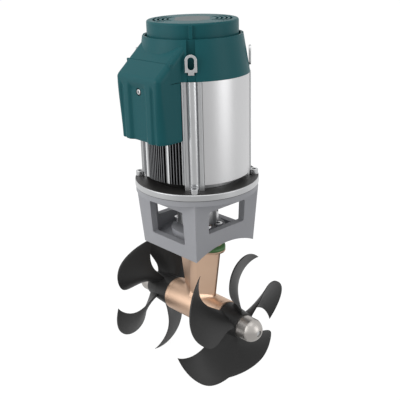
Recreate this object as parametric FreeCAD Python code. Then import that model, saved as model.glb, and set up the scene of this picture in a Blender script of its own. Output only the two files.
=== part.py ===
"""Tunnel bow thruster: brushless motor, cast bracket, bronze gearleg and two counter-rotating propellers.

Millimetres. +Z runs up the motor and drive shaft. +X runs along the propeller shafts, which is the
axis of the tunnel. The origin is where the two axes cross, inside the gear chamber. -Y is the side
of the motor that carries the terminal cover.
"""
import FreeCAD, Part
import math
import os

V = FreeCAD.Vector
X_AXIS = V(1, 0, 0)
Y_AXIS = V(0, 1, 0)
Z_AXIS = V(0, 0, 1)
ORIGIN = V(0, 0, 0)
CORNER_ANGLES = (45, 135, 225, 315)

# ---------------------------------------------------------------- clearances
run_gap = 0.05            # radial gap of a shaft that turns in a bearing or seal
seat_gap = 0.05           # radial gap of a spigot or ring in its register
free_gap = 0.5            # gap between a turning part and a fixed one that it must not touch
bolt_gap = 0.3            # radial gap of a bolt in its clearance hole

# ---------------------------------------------------------------- tunnel the unit is clamped to
tunnel_bore_r = 125.0
tunnel_wall = 7.0
tunnel_outer_r = tunnel_bore_r + tunnel_wall

# ---------------------------------------------------------------- motor bracket
motor_face_z = 217.0      # face that the motor flange stands on
bracket_half = 66.6       # half width of the square body under the ring
bracket_draft = 0.062     # half width lost per millimetre going down
bracket_wall = 11.0
bracket_ring_r = 94.0
bracket_ring_t = 8.0
bracket_ring_bore_r = 52.0
bracket_floor_t = 8.0
bracket_boss_r = 42.0
bracket_boss_z = 144.0
window_half = 37.5
window_top_z = 192.0
window_side_low_z = 139.0  # sill of the windows over the saddle's straight sides
window_end_low_z = 157.0   # sill of the windows over the saddle's arches
window_corner_r = 3.0

# ---------------------------------------------------------------- motor flange and its bolts
flange_r = 95.0
flange_t = 10.0
flange_edge = 1.0
flange_bolt_circle_r = 87.3
m8_shank_r = 4.0
m8_head_r = 6.5
m8_head_h = 8.0
m8_socket_r = 3.4
m8_socket_depth = 4.0
flange_bolt_length = 30.0
hub_boss_r = 34.0
hub_boss_h = 10.0

# ---------------------------------------------------------------- motor body, an aluminium extrusion
body_height = 158.0
body_bore_r = 62.0
body_wall = 5.0
fin_r = 81.0
fin_under_panel_gap = 0.2
fin_t = 1.6
fin_pitch = 4.0
hidden_fin_pitch = 8.0
fin_field_half = 46.0
thick_rib_x = 22.0
thick_rib_w = 7.0
column_half = 14.0
column_block_r = 76.0
column_round_r = 8.0
column_round_centre_r = 75.0
column_lip_t = 2.0
column_lip_r = 82.3
duct_gap = 10.0           # air outlet between the flange and the side panels

# ---------------------------------------------------------------- stainless side panels
panel_r = 82.0
panel_t = 1.5

# ---------------------------------------------------------------- motor inside
stator_h = 92.0
stator_low = 27.0         # height of the stator above the flange top
stator_yoke_r = 53.0
stator_bore_r = 38.5
stator_teeth = 12
tooth_w = 9.0
coil_w = 5.0
coil_end_h = 9.0
rotor_gap = 1.5
magnet_t = 4.0
magnet_count = 8
magnet_space = 2.0
motor_shaft_r = 12.0
bearing_r = 26.0
bearing_h = 15.0
shield_t = 6.0
shield_spigot_h = 10.0
shield_boss_h = 16.0
shield_boss_r = 32.0

# ---------------------------------------------------------------- fan, cowl and cap
fan_r = 58.0
fan_hub_r = 16.0
fan_plate_t = 2.0
fan_h = 18.0
fan_blade_count = 7
fan_blade_t = 2.0
fan_lift = 24.0           # height of the fan plate above the body
cowl_h = 55.0
cowl_rim_r = 72.6
cowl_wall = 3.0
channel_w = 12.0
channel_floor_r = 70.0
cap_r = 66.0
cap_wall = 2.5
cap_top_t = 3.0
cap_edge_r = 3.0
cap_stand = 20.5          # height of the cap above the cowl's rim
cap_skirt = 12.0
cap_rib_w = 5.0
cap_rib_r = 69.5
cap_rib_angles = (135, 315)
slot_radii = (36.0, 42.5, 49.0, 55.5)
slot_w = 3.4
slot_half_angle = 40.0
badge_half_w = 25.0
badge_r = 32.0
badge_t = 1.0

# ---------------------------------------------------------------- lifting lugs
lug_t = 3.0
lug_face_r = 83.0
lug_neck_w = 8.6
lug_neck_h = 13.0
lug_head_w = 16.5
lug_top = 37.0            # height of the lug's crown above the body
lug_slot_w = 9.0
lug_slot_h = 17.0
lug_foot_r = 71.5
lug_gap = 0.3
lug_shelf_h = 9.0          # the cowl hides the lug's neck up to this height
lug_apron_t = 1.4          # behind a thin apron

# ---------------------------------------------------------------- terminal cover
cover_half = 47.0
cover_front_y = 108.0
cover_bottom_z = 302.0
cover_wall = 3.0
cover_corner_r = 9.0
cover_shoulder_z = 392.0  # where the front face turns into the slope
cover_crest_y = 60.0
cover_crest_z = 433.0
cover_seam_y = 85.0       # the cover ends here above the motor body, and the cowl's fairing begins
cover_body_gap = 0.5
flute_half = 14.0
flute_run = 8.0
flute_depth = 4.0
cover_screw_z = 371.5
cover_screw_r = 3.5

# ---------------------------------------------------------------- electrics under the cover
board_half = 38.0
board_t = 2.0
board_y = 92.0
board_low_z = 310.0
board_high_z = 378.0
standoff_r = 3.0
terminal_x = 22.0
terminal_r = 4.0
terminal_z = 318.0
terminal_length = 12.0
terminal_collar_r = 6.0
capacitor_x = 29.0
capacitor_r = 4.5
capacitor_h = 24.0
capacitor_low_z = 332.0
grommet_y = 92.0
grommet_r = 8.7
grommet_neck_r = 7.5
grommet_bore_r = 6.0
grommet_flange_t = 2.0
grommet_x = (-25.0, 0.0, 25.0)

# ---------------------------------------------------------------- coupling
coupling_r = 32.0
coupling_low_z = 153.0
coupling_hub_h = 16.0
spider_h = 12.0
jaw_count = 3
jaw_half_angle = 23.0
jaw_inner_r = 19.0
spider_ring_r = 18.5
spider_bore_r = 13.5
spider_finger_angle = 13.0
spider_gap = 0.2

# ---------------------------------------------------------------- gearleg
foot_half_x = 52.0
foot_half_y = 30.0
foot_low_z = 109.5
gasket_low_z = 113.0
gasket_band = 5.0         # width of the gasket round the raised core of the foot
gasket_squeeze = 0.5      # how far the core stays below the tunnel's skin
spigot_r = 22.0
spigot_top_z = 141.0
gearleg_bolt_x = 33.0
gearleg_bolt_y = 12.0
gearleg_bolt_length = 31.0
strut_top_half = 46.5
strut_low_half = 31.0
strut_low_z = 10.0
strut_edge_round = 1.2
strut_half_t = 15.0
strut_edge_half = 2.3
strut_crown_half = 8.0
strut_crown_t = 14.2
pod_r = 27.6
pod_half = 53.0
chamber_r = 21.0
leg_bore_r = 11.5
cap_end_x = 60.8
cap_plug = 10.0
cap_chamfer = 1.5

# ---------------------------------------------------------------- drive train
drive_shaft_r = 7.0
pinion_teeth = 13
crown_teeth = 21
gear_module = 1.5
face_width = 5.5
addendum = 1.15
dedendum = 1.65
tooth_root_sink = 0.3
tooth_share = 0.40        # part of the pitch that a tooth takes at the pitch line
flank_slope = 0.42        # half thickness lost per millimetre of height
gear_web = 4.0            # thickness of the gear blank behind its teeth
crown_hub_r = 12.0
crown_back_x = 29.0
pinion_hub_r = 9.5
pinion_back_z = 27.0
pinion_bore_r = 4.0
leg_bearing_low_z = 28.0
leg_bearing_h = 11.0
top_bearing_r = 16.0
top_bearing_low_z = 123.0
seal_h = 6.0
seal_r = 12.5
pod_bearing_x = 30.0
pod_bearing_w = 11.0
shaft_inner_x = 12.0

# ---------------------------------------------------------------- propellers
prop_shaft_r = 7.0
left_reach = 16.0         # the left propeller, its hub and its anode stand this much further out
hub_inner_x = 61.3
hub_mid_x = 74.0
hub_outer_x = 97.8
hub_inner_r = 26.0
hub_mid_r = 24.0
hub_outer_r = 20.5
blade_count = 5
blade_r = 109.7
blade_root_r = 17.0
blade_tip_slant = -1.1    # how much the outer edge falls from the leading tip to the trailing corner
blade_corner_cut = 21.6   # and how much the trailing corner is rounded off
right_blade_x = 98.0      # distance of the blade's reference line from the drive axis
left_blade_x = 114.7
blade_pitch = 280.5       # advance of the blade's face in one turn at the root
blade_pitch_drop = 26.2   # pitch lost from root to tip
blade_rake = -46.4        # lean of the blade along the shaft, linear part
blade_rake_bow = 42.1     # and the part that grows with the square
blade_camber = 4.4
blade_span_points = 6     # points that shape a blade's surface from root to tip
blade_chord_points = 7    # and from edge to edge
lead_angles = (48.7, 33.3, 34.8, 49.0)     # leading edge, from root to tip
trail_angles = (4.5, -4.9, -14.9, -16.9, -4.3)    # trailing edge, from root to tip
blade_root_t = 7.6
blade_tip_t = 2.6
blade_edge_t = 1.0
right_blade_angle = 97.7
left_blade_angle = 82.1
pin_r = 2.5
pin_x = 68.0
pin_half = 16.0
nut_x = 98.2
nut_h = 9.0
nut_r = 11.5
shaft_end_x = 112.0
anode_r = 18.4
anode_gap = 1.0            # kept free between the anode and the blades' roots
anode_cylinder = 18.0
anode_dome = 15.0
anode_bore_r = 12.5
anode_bore_depth = 15.5
anode_screw_r = 3.0
anode_screw_head_r = 4.5

# ---------------------------------------------------------------- heights that follow
flange_top_z = motor_face_z + flange_t
body_top_z = flange_top_z + body_height
panel_low_z = flange_top_z + duct_gap
cowl_rim_z = body_top_z + cowl_h
cap_top_z = cowl_rim_z + cap_stand
cap_low_z = cowl_rim_z - cap_skirt
body_core_r = body_bore_r + body_wall


# ================================================================ shapes that several pieces use
def cylinder(radius, low, high):
    return Part.makeCylinder(radius, high - low, V(0, 0, low), Z_AXIS)


def cylinder_x(radius, low, high):
    return Part.makeCylinder(radius, high - low, V(low, 0, 0), X_AXIS)


def ring(outer, inner, low, high):
    return cylinder(outer, low, high).cut(cylinder(inner, low, high))


def ring_x(outer, inner, low, high):
    return cylinder_x(outer, low, high).cut(cylinder_x(inner, low, high))


def box(x0, x1, y0, y1, z0, z1):
    return Part.makeBox(x1 - x0, y1 - y0, z1 - z0, V(x0, y0, z0))


def turned(profile, about_x=False):
    """Solid of revolution of a closed outline of (height, radius) points."""
    if about_x:
        points = [V(h, 0, r) for h, r in profile]
        axis = X_AXIS
    else:
        points = [V(r, 0, h) for h, r in profile]
        axis = Z_AXIS
    face = Part.Face(Part.makePolygon(points + points[:1]))
    return face.revolve(ORIGIN, axis, 360)


def at_angle(shape, degrees, axis=Z_AXIS):
    copy = shape.copy()
    copy.rotate(ORIGIN, axis, degrees)
    return copy


def around(shape, count, axis=Z_AXIS, start=0.0):
    return [at_angle(shape, start + 360.0 * i / count, axis) for i in range(count)]


def mirrored_x(shape):
    return shape.mirror(ORIGIN, X_AXIS)


def square(half, z):
    corners = [V(-half, -half, z), V(half, -half, z), V(half, half, z), V(-half, half, z)]
    return Part.makePolygon(corners + corners[:1])


def tapered_square(half_low, low, half_high, high):
    return Part.makeLoft([square(half_low, low), square(half_high, high)], True, True)


def rounded_slot(half_w, low, high, radius, depth):
    """Bar along Y with a rounded rectangular section, for cutting a window."""
    bar = box(-half_w, half_w, -depth, depth, low, high)
    edges = [e for e in bar.Edges if abs(e.Vertexes[0].Y - e.Vertexes[-1].Y) > depth]
    return bar.makeFillet(radius, edges)


def cap_screw(x, y, seat_z, length, shank_r, head_r, head_h, socket_r, socket_depth):
    shank = Part.makeCylinder(shank_r, length, V(x, y, seat_z - length), Z_AXIS)
    head = Part.makeCylinder(head_r, head_h, V(x, y, seat_z), Z_AXIS)
    hexagon = [V(x + socket_r * math.cos(math.radians(60 * i)), y + socket_r * math.sin(math.radians(60 * i)),
                 seat_z + head_h - socket_depth) for i in range(6)]
    socket = Part.Face(Part.makePolygon(hexagon + hexagon[:1])).extrude(V(0, 0, socket_depth))
    return shank.fuse(head).cut(socket).removeSplitter()


def polar(radius, degrees):
    return radius * math.cos(math.radians(degrees)), radius * math.sin(math.radians(degrees))


# ================================================================ bracket and flange
def bracket_half_at(z):
    return bracket_half - bracket_draft * (motor_face_z - bracket_ring_t - z)


def gearleg_bolt_places():
    return [(sx * gearleg_bolt_x, sy * gearleg_bolt_y) for sx in (-1, 1) for sy in (-1, 1)]


def motor_bracket():
    low = tunnel_outer_r * 0.75
    ring_low = motor_face_z - bracket_ring_t
    body = tapered_square(bracket_half_at(low), low, bracket_half, ring_low)
    body = body.fuse(cylinder(bracket_ring_r, ring_low, motor_face_z))
    inside = tapered_square(bracket_half_at(low) - bracket_wall, low, bracket_half - bracket_wall, ring_low)
    saddle = cylinder_x(tunnel_outer_r + bracket_floor_t, -2 * bracket_half, 2 * bracket_half)
    boss = cylinder(bracket_boss_r, low, bracket_boss_z)
    inside = inside.cut(saddle.fuse(boss))
    body = body.cut(inside)
    body = body.cut(cylinder(bracket_ring_bore_r, ring_low - 1, motor_face_z + 1))
    clear = bracket_half - bracket_wall - 6
    middle = box(-clear, clear, -clear, clear, low, ring_low)
    side_window = rounded_slot(window_half, window_side_low_z, window_top_z, window_corner_r, 2 * bracket_half)
    end_window = rounded_slot(window_half, window_end_low_z, window_top_z, window_corner_r, 2 * bracket_half)
    body = body.cut(side_window.cut(middle))
    body = body.cut(at_angle(end_window.cut(middle), 90))
    body = body.cut(cylinder_x(tunnel_outer_r, -2 * bracket_half, 2 * bracket_half))
    body = body.cut(cylinder(spigot_r + seat_gap, low, motor_face_z))
    for x, y in gearleg_bolt_places():
        hole = Part.makeCylinder(m8_shank_r + bolt_gap, motor_face_z - low, V(x, y, low), Z_AXIS)
        body = body.cut(hole)
    for angle in CORNER_ANGLES:
        x, y = polar(flange_bolt_circle_r, angle)
        depth = flange_bolt_length - flange_t + 2
        tapped = Part.makeCylinder(m8_shank_r + seat_gap, depth, V(x, y, motor_face_z - depth), Z_AXIS)
        body = body.cut(tapped)
    return body.removeSplitter()


def motor_flange():
    plate = cylinder(flange_r, motor_face_z, flange_top_z)
    rims = [e for e in plate.Edges if e.Curve.TypeId == "Part::GeomCircle"]
    plate = plate.makeChamfer(flange_edge, rims)
    spigot = cylinder(bracket_ring_bore_r - seat_gap, motor_face_z - 4, motor_face_z)
    register = cylinder(body_bore_r - seat_gap, flange_top_z, flange_top_z + 4)
    boss = cylinder(hub_boss_r, flange_top_z, flange_top_z + hub_boss_h)
    body = plate.fuse([spigot, register, boss])
    seat_low = flange_top_z + hub_boss_h - bearing_h
    body = body.cut(cylinder(bearing_r + seat_gap, seat_low, flange_top_z + hub_boss_h + 1))
    body = body.cut(cylinder(motor_shaft_r + 2, motor_face_z - 5, flange_top_z))
    for angle in CORNER_ANGLES:
        x, y = polar(flange_bolt_circle_r, angle)
        body = body.cut(Part.makeCylinder(m8_shank_r + bolt_gap, flange_t + 2, V(x, y, motor_face_z - 1), Z_AXIS))
    return body.removeSplitter()


def flange_bolts():
    screws = []
    for angle in CORNER_ANGLES:
        x, y = polar(flange_bolt_circle_r, angle)
        screws.append(cap_screw(x, y, flange_top_z, flange_bolt_length, m8_shank_r, m8_head_r, m8_head_h,
                                m8_socket_r, m8_socket_depth))
    return Part.makeCompound(screws)


# ================================================================ motor body
def column_section(outer_lips):
    block = Part.makePlane(column_block_r - body_bore_r - 2, 2 * column_half,
                           V(body_bore_r + 2, -column_half, 0), Z_AXIS)
    disc = Part.Face(Part.Wire(Part.makeCircle(column_round_r, V(column_round_centre_r, 0, 0), Z_AXIS)))
    section = block.fuse(disc)
    if outer_lips:
        for side in (-1, 1):
            y0 = side * (column_half - column_lip_t / 2) - column_lip_t / 2
            lip = Part.makePlane(column_lip_r - column_block_r + 1, column_lip_t, V(column_block_r - 1, y0, 0), Z_AXIS)
            section = section.fuse(lip)
    return section


def disc_face(radius):
    return Part.Face(Part.Wire(Part.makeCircle(radius, ORIGIN, Z_AXIS)))


def fin_rows(pitch, reach):
    """Fins of one side of the body, as flat faces standing towards -Y."""
    rows = []
    count = int(fin_field_half / pitch)
    places = [(i * pitch, fin_t) for i in range(-count, count + 1)]
    if pitch == fin_pitch:
        places = [(x, w) for x, w in places if abs(abs(x) - thick_rib_x) > (thick_rib_w + fin_t) / 2]
        places += [(-thick_rib_x, thick_rib_w), (thick_rib_x, thick_rib_w)]
    for x, width in places:
        inner = math.sqrt(body_core_r ** 2 - x ** 2) - 2
        outer = math.sqrt(reach ** 2 - (abs(x) + width / 2) ** 2)
        rows.append(Part.makePlane(width, outer - inner, V(x - width / 2, -outer, 0), Z_AXIS))
    return rows


def motor_body():
    core = disc_face(body_core_r)
    columns = [at_angle(column_section(True), a) for a in CORNER_ANGLES]
    foot = core.fuse([at_angle(column_section(False), a) for a in CORNER_ANGLES])
    fins = fin_rows(fin_pitch, fin_r)
    for turn in (90, 180, 270):
        hidden = fin_rows(hidden_fin_pitch, panel_r - panel_t - fin_under_panel_gap)
        fins += [at_angle(f, turn) for f in hidden]
    section = core.fuse(columns + fins)
    bore = disc_face(body_bore_r)
    foot = foot.cut(bore).removeSplitter()
    section = section.cut(bore).removeSplitter()
    foot.translate(V(0, 0, flange_top_z))
    section.translate(V(0, 0, panel_low_z))
    body = foot.extrude(V(0, 0, duct_gap)).fuse(section.extrude(V(0, 0, body_top_z - panel_low_z)))
    for angle in CORNER_ANGLES:
        x, y = polar(flange_bolt_circle_r, angle)
        reach = m8_head_r + 1.0
        body = body.cut(Part.makeCylinder(reach, duct_gap + 3, V(x, y, flange_top_z - 1), Z_AXIS))
    return body.removeSplitter()


def side_panel(turn):
    sheet = ring(panel_r, panel_r - panel_t, panel_low_z, body_top_z)
    edge = math.degrees(math.asin(column_half / (panel_r - panel_t))) + 0.15
    span = 90.0 - 2 * edge
    wedge = Part.makeCylinder(2 * panel_r, body_height, V(0, 0, panel_low_z), Z_AXIS, span)
    sheet = sheet.common(wedge)
    return at_angle(sheet, turn - span / 2)


def bearing(radius, bore, low, height):
    return ring(radius, bore, low, low + height)


def lower_motor_bearing():
    low = flange_top_z + hub_boss_h - bearing_h
    return bearing(bearing_r, motor_shaft_r + run_gap, low, bearing_h)


def upper_motor_bearing():
    low = body_top_z - shield_spigot_h
    return bearing(bearing_r, motor_shaft_r + run_gap, low, bearing_h)


def upper_end_shield():
    spigot_low = body_top_z - shield_spigot_h
    body = cylinder(body_bore_r - seat_gap, spigot_low, body_top_z)
    body = body.fuse(cylinder(body_core_r, body_top_z, body_top_z + shield_t))
    body = body.cut(cylinder(body_bore_r - 6, spigot_low - 1, body_top_z - 2))
    body = body.fuse(cylinder(shield_boss_r, spigot_low - 4, body_top_z + shield_t))
    body = body.cut(cylinder(bearing_r + seat_gap, spigot_low, body_top_z + shield_t + 1))
    body = body.cut(cylinder(motor_shaft_r + 2, spigot_low - 5, spigot_low))
    return body.removeSplitter()


def stator_core():
    low = flange_top_z + stator_low
    core = ring(body_bore_r - seat_gap, stator_yoke_r, low, low + stator_h)
    tooth = box(stator_bore_r - 4, stator_yoke_r + 1, -tooth_w / 2, tooth_w / 2, low, low + stator_h)
    core = core.fuse(around(tooth, stator_teeth))
    core = core.cut(cylinder(stator_bore_r, low - 1, low + stator_h + 1))
    return core.removeSplitter()


def stator_windings():
    low = flange_top_z + stator_low
    inner = stator_bore_r + 3.0
    outer = stator_yoke_r - 2.0
    half = tooth_w / 2 + coil_w
    coil = box(inner, outer, -half, half, low - coil_end_h, low + stator_h + coil_end_h)
    slot = box(inner - 1, outer + 1, -tooth_w / 2, tooth_w / 2, low, low + stator_h)
    coil = coil.cut(slot)
    side = math.tan(math.radians(180.0 / stator_teeth))
    keep_far = 2 * outer
    gap = 0.4
    wedge_points = [V(gap / side, 0, low - 20), V(keep_far, keep_far * side - gap, low - 20),
                    V(keep_far, -keep_far * side + gap, low - 20)]
    wedge = Part.Face(Part.makePolygon(wedge_points + wedge_points[:1])).extrude(V(0, 0, stator_h + 40))
    coil = coil.common(wedge)
    return Part.makeCompound(around(coil, stator_teeth))


def rotor_core():
    low = flange_top_z + stator_low
    outer = stator_bore_r - rotor_gap - magnet_t
    core = ring(outer, motor_shaft_r, low, low + stator_h)
    hole = Part.makeCylinder(4.0, stator_h + 2, V((outer + motor_shaft_r) / 2, 0, low - 1), Z_AXIS)
    return core.cut(Part.makeCompound(around(hole, 6)))


def rotor_magnets():
    low = flange_top_z + stator_low
    outer = stator_bore_r - rotor_gap
    shell = ring(outer, outer - magnet_t, low, low + stator_h)
    span = 360.0 / magnet_count - math.degrees(magnet_space / outer)
    wedge = Part.makeCylinder(2 * outer, stator_h, V(0, 0, low), Z_AXIS, span)
    return Part.makeCompound(around(shell.common(wedge), magnet_count))


def motor_shaft():
    coupling_top = coupling_low_z + 2 * coupling_hub_h + spider_h
    low = coupling_top - coupling_hub_h + 1
    fan_top = body_top_z + fan_lift + fan_h
    shaft = cylinder(motor_shaft_r, low, fan_top)
    rims = [e for e in shaft.Edges if e.Curve.TypeId == "Part::GeomCircle"]
    return shaft.makeChamfer(1.0, rims)


# ================================================================ fan, cowl, cap and lugs
def fan_impeller():
    low = body_top_z + fan_lift
    plate = cylinder(fan_r, low, low + fan_plate_t)
    hub = cylinder(fan_hub_r, low, low + fan_h)
    blade = box(fan_hub_r - 2, fan_r - 1, -fan_blade_t / 2, fan_blade_t / 2, low, low + fan_h - 2)
    blade.rotate(V(fan_hub_r, 0, low), Z_AXIS, -18)
    body = plate.fuse([hub] + around(blade, fan_blade_count))
    body = body.cut(cylinder(motor_shaft_r, low - 1, low + fan_h + 1))
    return body.removeSplitter()


def cowl_r_at(z):
    return panel_r - (panel_r - cowl_rim_r) * (z - body_top_z) / cowl_h


def cover_envelope(inset):
    """Outside of the terminal cover and of the cowl's fairing, moved in by inset."""
    half = cover_half - inset
    front = cover_front_y - inset
    bottom = cover_bottom_z + inset
    run = cover_front_y - cover_crest_y
    rise = cover_crest_z - cover_shoulder_z
    drop = inset * math.hypot(run, rise) / run
    slope = rise / run
    shoulder = cover_shoulder_z - drop + slope * inset
    back = body_bore_r - 20.0
    back_z = cover_shoulder_z - drop + slope * (cover_front_y - back)
    outline = [V(-half, -front, bottom), V(-half, -front, shoulder), V(-half, -back, back_z), V(-half, -back, bottom)]
    block = Part.Face(Part.makePolygon(outline + outline[:1])).extrude(V(2 * half, 0, 0))
    radius = cover_corner_r - inset
    upright = [e for e in block.Edges
               if abs(e.Vertexes[0].Y + front) < 1e-6 and abs(e.Vertexes[-1].Y + front) < 1e-6
               and abs(e.Vertexes[0].X - e.Vertexes[-1].X) < 1e-6]
    sloped = [e for e in block.Edges
              if abs(e.Vertexes[0].Z - e.Vertexes[-1].Z) > 1 and abs(e.Vertexes[0].Y - e.Vertexes[-1].Y) > 1]
    crest = [e for e in block.Edges
             if abs(e.Vertexes[0].Z - shoulder) < 1e-6 and abs(e.Vertexes[-1].Z - shoulder) < 1e-6]
    return block.makeFillet(radius, upright + sloped + crest)


def cover_share():
    """Space that belongs to the terminal cover: all of the front, and what lies beside the motor body."""
    far = 2 * cover_front_y
    front = box(-far, far, -far, -cover_seam_y, 0, 2 * cowl_rim_z)
    beside = box(-far, far, -cover_seam_y, 0, 0, body_top_z)
    return front.fuse(beside)


def fan_cowl():
    cone = Part.makeCone(panel_r, cowl_rim_r, cowl_h, V(0, 0, body_top_z), Z_AXIS)
    hollow = Part.makeCone(panel_r - cowl_wall, cowl_rim_r - cowl_wall, cowl_h, V(0, 0, body_top_z), Z_AXIS)
    channels = []
    liners = []
    for angle in CORNER_ANGLES:
        half = channel_w / 2
        top = cowl_rim_z + 1
        shelf_z = body_top_z + lug_shelf_h
        pocket_r = lug_face_r + lug_gap
        apron_r = pocket_r + lug_apron_t
        channels.append(at_angle(box(channel_floor_r, 2 * panel_r, -half, half, shelf_z, top), angle))
        channels.append(at_angle(box(channel_floor_r, pocket_r, -half, half, body_top_z - 1, top), angle))
        channels.append(at_angle(box(apron_r, 2 * panel_r, -half, half, body_top_z - 1, top), angle))
        wall = half + 2
        liner = box(channel_floor_r - 2, 2 * panel_r, -wall, wall, body_top_z + 4, cowl_rim_z)
        liners.append(at_angle(liner, angle))
    shell = cone.cut(hollow)
    shell = shell.fuse([liner.common(cone) for liner in liners])
    fairing = cover_envelope(0.0).cut(cover_envelope(cover_wall)).cut(cover_share())
    fairing = fairing.cut(cone).cut(cylinder(cowl_rim_r, cowl_rim_z - 1, 2 * cowl_rim_z))
    shell = shell.fuse(fairing)
    for channel in channels:
        shell = shell.cut(channel)
    return shell.removeSplitter()


def arc_slot(radius, width, middle_angle, half_angle, low, high):
    band = ring(radius + width / 2, radius - width / 2, low, high)
    wedge = Part.makeCylinder(2 * radius, high - low, V(0, 0, low), Z_AXIS, 2 * half_angle)
    return band.common(at_angle(wedge, middle_angle - half_angle))


def badge_outline(grow):
    round_part = disc_face(badge_r + grow)
    half = badge_half_w + grow
    strip = Part.makePlane(2 * half, 4 * badge_r, V(-half, -2 * badge_r, 0), Z_AXIS)
    return at_angle(round_part.common(strip), 45)


def fan_cap():
    body = cylinder(cap_r, cap_low_z, cap_top_z)
    rim = [e for e in body.Edges if e.Curve.TypeId == "Part::GeomCircle" and abs(e.BoundBox.ZMin - cap_top_z) < 1e-6]
    body = body.makeFillet(cap_edge_r, rim)
    body = body.cut(cylinder(cap_r - cap_wall, cap_low_z - 1, cap_top_z - cap_top_t))
    skirt_r = cowl_r_at(cap_low_z + 3) - cowl_wall - seat_gap
    body = body.fuse(ring(skirt_r, cap_r - cap_wall, cap_low_z, cap_low_z + 3))
    for angle in CORNER_ANGLES:
        half = channel_w / 2 + 2 + seat_gap
        notch = box(channel_floor_r - 2 - seat_gap, 2 * cap_r, -half, half, cap_low_z - 1, cap_low_z + 4)
        body = body.cut(at_angle(notch, angle))
    for angle in cap_rib_angles:
        rib = box(cap_r - 1, cap_rib_r, -cap_rib_w / 2, cap_rib_w / 2, cowl_rim_z + 0.3, cap_top_z - cap_edge_r)
        body = body.fuse(at_angle(rib, angle))
    for radius in slot_radii:
        for side in (45, 225):
            body = body.cut(arc_slot(radius, slot_w, side, slot_half_angle, cap_top_z - cap_top_t - 1, cap_top_z + 1))
    pocket = badge_outline(seat_gap)
    pocket.translate(V(0, 0, cap_top_z - badge_t))
    body = body.cut(pocket.extrude(V(0, 0, badge_t + 1)))
    return body.removeSplitter()


def badge_disc():
    face = badge_outline(0.0)
    face.translate(V(0, 0, cap_top_z - badge_t))
    return face.extrude(V(0, 0, badge_t))


def lifting_lugs():
    plate_r = lug_face_r - lug_t
    crown_z = body_top_z + lug_top
    head_half = lug_head_w / 2
    centre_z = crown_z - head_half
    head_low = body_top_z + lug_neck_h
    neck = box(plate_r, lug_face_r, -lug_neck_w / 2, lug_neck_w / 2, body_top_z, head_low + 1)
    head = box(plate_r, lug_face_r, -head_half, head_half, head_low, centre_z)
    crown = Part.makeCylinder(head_half, lug_t, V(plate_r, 0, centre_z), X_AXIS)
    foot = box(lug_foot_r, plate_r + 1, -lug_neck_w / 2, lug_neck_w / 2, body_top_z, body_top_z + lug_t)
    lug = neck.fuse([head, crown, foot])
    eye_half = lug_slot_w / 2
    eye_high = centre_z
    eye_low = eye_high - lug_slot_h + lug_slot_w
    eye = box(plate_r - 1, lug_face_r + 1, -eye_half, eye_half, eye_low, eye_high)
    ends = [Part.makeCylinder(eye_half, lug_t + 2, V(plate_r - 1, 0, z), X_AXIS) for z in (eye_low, eye_high)]
    lug = lug.cut(eye.fuse(ends)).removeSplitter()
    return Part.makeCompound([at_angle(lug, a) for a in CORNER_ANGLES])


# ================================================================ terminal cover and what it holds
def terminal_cover():
    shell = cover_envelope(0.0).cut(cover_envelope(cover_wall)).common(cover_share())
    front = -cover_front_y
    low = cover_bottom_z - 1
    groove = [V(-flute_half - flute_run, front - 1, low), V(-flute_half - flute_run, front, low),
              V(-flute_half, front + flute_depth, low), V(flute_half, front + flute_depth, low),
              V(flute_half + flute_run, front, low), V(flute_half + flute_run, front - 1, low)]
    height = cover_shoulder_z - 6 - low
    flute = Part.Face(Part.makePolygon(groove + groove[:1])).extrude(V(0, 0, height))
    backing = [V(p.x * 1.1, p.y + cover_wall, p.z) for p in groove]
    backing_solid = Part.Face(Part.makePolygon(backing + backing[:1])).extrude(V(0, 0, height + cover_wall))
    shell = shell.fuse(backing_solid.common(cover_envelope(0.0)))
    shell = shell.cut(flute)
    shell = shell.cut(cylinder(panel_r + cover_body_gap, 0, body_top_z))
    for angle in (225, 315):
        keep = column_half + cover_body_gap
        column_zone = box(column_block_r - 20, 2 * panel_r, -keep, keep, 0, 2 * cowl_rim_z)
        shell = shell.cut(at_angle(column_zone, angle))
    shell = shell.cut(Part.makeCone(panel_r + cover_body_gap, cowl_rim_r + cover_body_gap, cowl_h,
                                    V(0, 0, body_top_z), Z_AXIS))
    screw_front = front + flute_depth
    shell = shell.cut(Part.makeCylinder(cover_screw_r + bolt_gap, 30, V(0, screw_front - 1, cover_screw_z), Y_AXIS))
    for x in grommet_x:
        shell = shell.cut(Part.makeCylinder(grommet_neck_r + seat_gap, cover_wall + 2,
                                            V(x, -grommet_y, cover_bottom_z - 1), Z_AXIS))
    return shell.removeSplitter()


def cover_screw():
    """Pan-head screw through the cover into a post that stands on the motor body's fins."""
    front = -cover_front_y + flute_depth
    head = Part.makeCylinder(cover_screw_r + 2.0, 2.5, V(0, front - 2.5, cover_screw_z), Y_AXIS)
    shank = Part.makeCylinder(cover_screw_r, 14.0, V(0, front, cover_screw_z), Y_AXIS)
    return head.fuse(shank)


def cover_post():
    """Spacer on the motor body that takes the cover screw and carries the power board."""
    front = -cover_front_y + flute_depth + cover_wall
    back = -fin_r
    post = Part.makeCylinder(6.0, back - front, V(0, front, cover_screw_z), Y_AXIS)
    return post.cut(Part.makeCylinder(cover_screw_r, 14.0, V(0, front - 1, cover_screw_z), Y_AXIS))


def power_board():
    board = box(-board_half, board_half, -board_y - board_t, -board_y, board_low_z, board_high_z)
    board = board.cut(Part.makeCylinder(6.0 + bolt_gap, 3 * board_t, V(0, -board_y - 2 * board_t, cover_screw_z), Y_AXIS))
    for side in (-1, 1):
        board = board.cut(terminal_stud(side, terminal_r + seat_gap))
    standoffs = []
    for x in (-board_half + 6, board_half - 6):
        for z in (board_low_z + 6, board_high_z - 6):
            reach = board_y - math.sqrt(fin_r ** 2 - (abs(x) - standoff_r) ** 2)
            standoffs.append(Part.makeCylinder(standoff_r, reach, V(x, -board_y, z), Y_AXIS))
    return board.fuse(standoffs).removeSplitter()


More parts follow.
